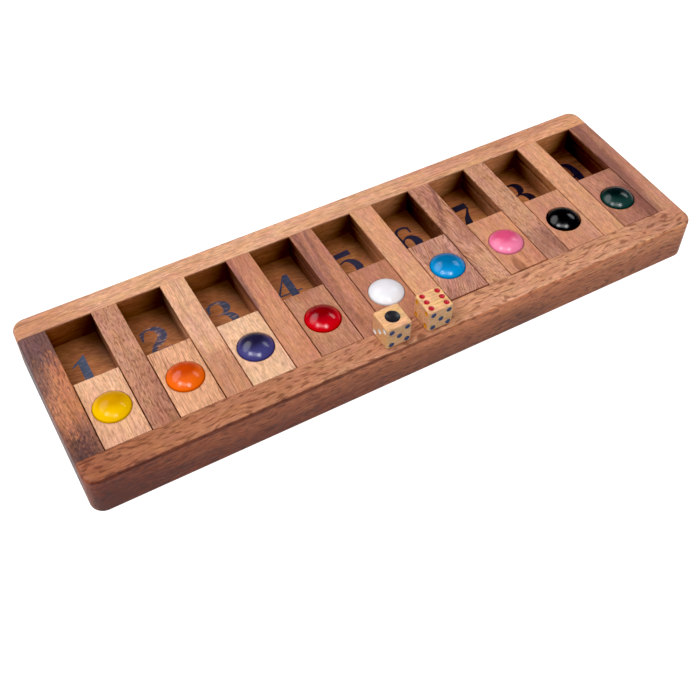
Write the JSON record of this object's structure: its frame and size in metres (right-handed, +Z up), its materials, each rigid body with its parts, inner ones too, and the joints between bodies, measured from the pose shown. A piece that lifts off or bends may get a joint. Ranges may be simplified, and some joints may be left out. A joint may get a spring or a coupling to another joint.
{
  "type": "sliding tile number board game",
  "caption": "Long wooden tray with a row of wells; in each a wooden tile with a coloured dome slides back to cover a printed number, and two dice stand on the front rail.",
  "frame": {"origin": "middle of the tray's footprint, on its underside", "axes": "+X along the row of wells from number 1 to number 9, +Y from the player to the back rail, +Z up"},
  "size_m": [0.2964, 0.0928, 0.0333],
  "materials": {
    "floor_wood": "satin",
    "front_rail_wood": "satin",
    "back_rail_wood": "satin",
    "left_block_wood": "satin",
    "right_block_wood": "satin",
    "divider_1_wood": "satin",
    "divider_2_wood": "satin",
    "divider_3_wood": "satin",
    "divider_4_wood": "satin",
    "divider_5_wood": "satin",
    "divider_6_wood": "satin",
    "divider_7_wood": "satin",
    "divider_8_wood": "satin",
    "tile_1_wood": "satin",
    "tile_2_wood": "satin",
    "tile_3_wood": "satin",
    "tile_4_wood": "satin",
    "tile_5_wood": "satin",
    "tile_6_wood": "satin",
    "tile_7_wood": "satin",
    "tile_8_wood": "satin",
    "tile_9_wood": "satin",
    "dome_1_gloss": "gloss",
    "dome_2_gloss": "gloss",
    "dome_3_gloss": "gloss",
    "dome_4_gloss": "gloss",
    "dome_5_gloss": "gloss",
    "dome_6_gloss": "gloss",
    "dome_7_gloss": "gloss",
    "dome_8_gloss": "gloss",
    "dome_9_gloss": "gloss",
    "die_wood": "satin",
    "number_ink": "matte",
    "pip_black": "gloss",
    "pip_green": "gloss",
    "pip_white": "gloss",
    "pip_yellow": "gloss",
    "pip_blue": "gloss",
    "pip_red": "gloss"
  },
  "bodies": {
    "tray": {"base_board": "floor_wood", "front_rail": "front_rail_wood", "back_rail": "back_rail_wood", "end_block_left": "left_block_wood", "end_block_right": "right_block_wood", "divider_1": "divider_1_wood", "divider_2": "divider_2_wood", "divider_3": "divider_3_wood", "divider_4": "divider_4_wood", "divider_5": "divider_5_wood", "divider_6": "divider_6_wood", "divider_7": "divider_7_wood", "divider_8": "divider_8_wood"},
    "tile_1_slider": {"tile_1": "tile_1_wood", "dome_1": "dome_1_gloss"},
    "tile_2_slider": {"tile_2": "tile_2_wood", "dome_2": "dome_2_gloss"},
    "tile_3_slider": {"tile_3": "tile_3_wood", "dome_3": "dome_3_gloss"},
    "tile_4_slider": {"tile_4": "tile_4_wood", "dome_4": "dome_4_gloss"},
    "tile_5_slider": {"tile_5": "tile_5_wood", "dome_5": "dome_5_gloss"},
    "tile_6_slider": {"tile_6": "tile_6_wood", "dome_6": "dome_6_gloss"},
    "tile_7_slider": {"tile_7": "tile_7_wood", "dome_7": "dome_7_gloss"},
    "tile_8_slider": {"tile_8": "tile_8_wood", "dome_8": "dome_8_gloss"},
    "tile_9_slider": {"tile_9": "tile_9_wood", "dome_9": "dome_9_gloss"},
    "die_1_loose": {"die_1": "die_wood"},
    "die_2_loose": {"die_2": "die_wood"}
  },
  "joints": [
    {"name": "tile_1_slide", "type": "slide", "parent": "tray", "child": "tile_1_slider", "axis": [0, 1, 0], "range_m": [0, 0.0331]},
    {"name": "tile_2_slide", "type": "slide", "parent": "tray", "child": "tile_2_slider", "axis": [0, 1, 0], "range_m": [0, 0.0331]},
    {"name": "tile_3_slide", "type": "slide", "parent": "tray", "child": "tile_3_slider", "axis": [0, 1, 0], "range_m": [0, 0.0331]},
    {"name": "tile_4_slide", "type": "slide", "parent": "tray", "child": "tile_4_slider", "axis": [0, 1, 0], "range_m": [0, 0.0331]},
    {"name": "tile_5_slide", "type": "slide", "parent": "tray", "child": "tile_5_slider", "axis": [0, 1, 0], "range_m": [0, 0.0331]},
    {"name": "tile_6_slide", "type": "slide", "parent": "tray", "child": "tile_6_slider", "axis": [0, 1, 0], "range_m": [-0.0006, 0.0325]},
    {"name": "tile_7_slide", "type": "slide", "parent": "tray", "child": "tile_7_slider", "axis": [0, 1, 0], "range_m": [-0.00042, 0.03268]},
    {"name": "tile_8_slide", "type": "slide", "parent": "tray", "child": "tile_8_slider", "axis": [0, 1, 0], "range_m": [0, 0.0331]},
    {"name": "tile_9_slide", "type": "slide", "parent": "tray", "child": "tile_9_slider", "axis": [0, 1, 0], "range_m": [0, 0.0331]},
    {"name": "die_1_lift", "type": "slide", "parent": "tray", "child": "die_1_loose", "axis": [0, 0, 1], "range_m": [0, 0.06]},
    {"name": "die_2_lift", "type": "slide", "parent": "tray", "child": "die_2_loose", "axis": [0, 0, 1], "range_m": [0, 0.06]}
  ]
}
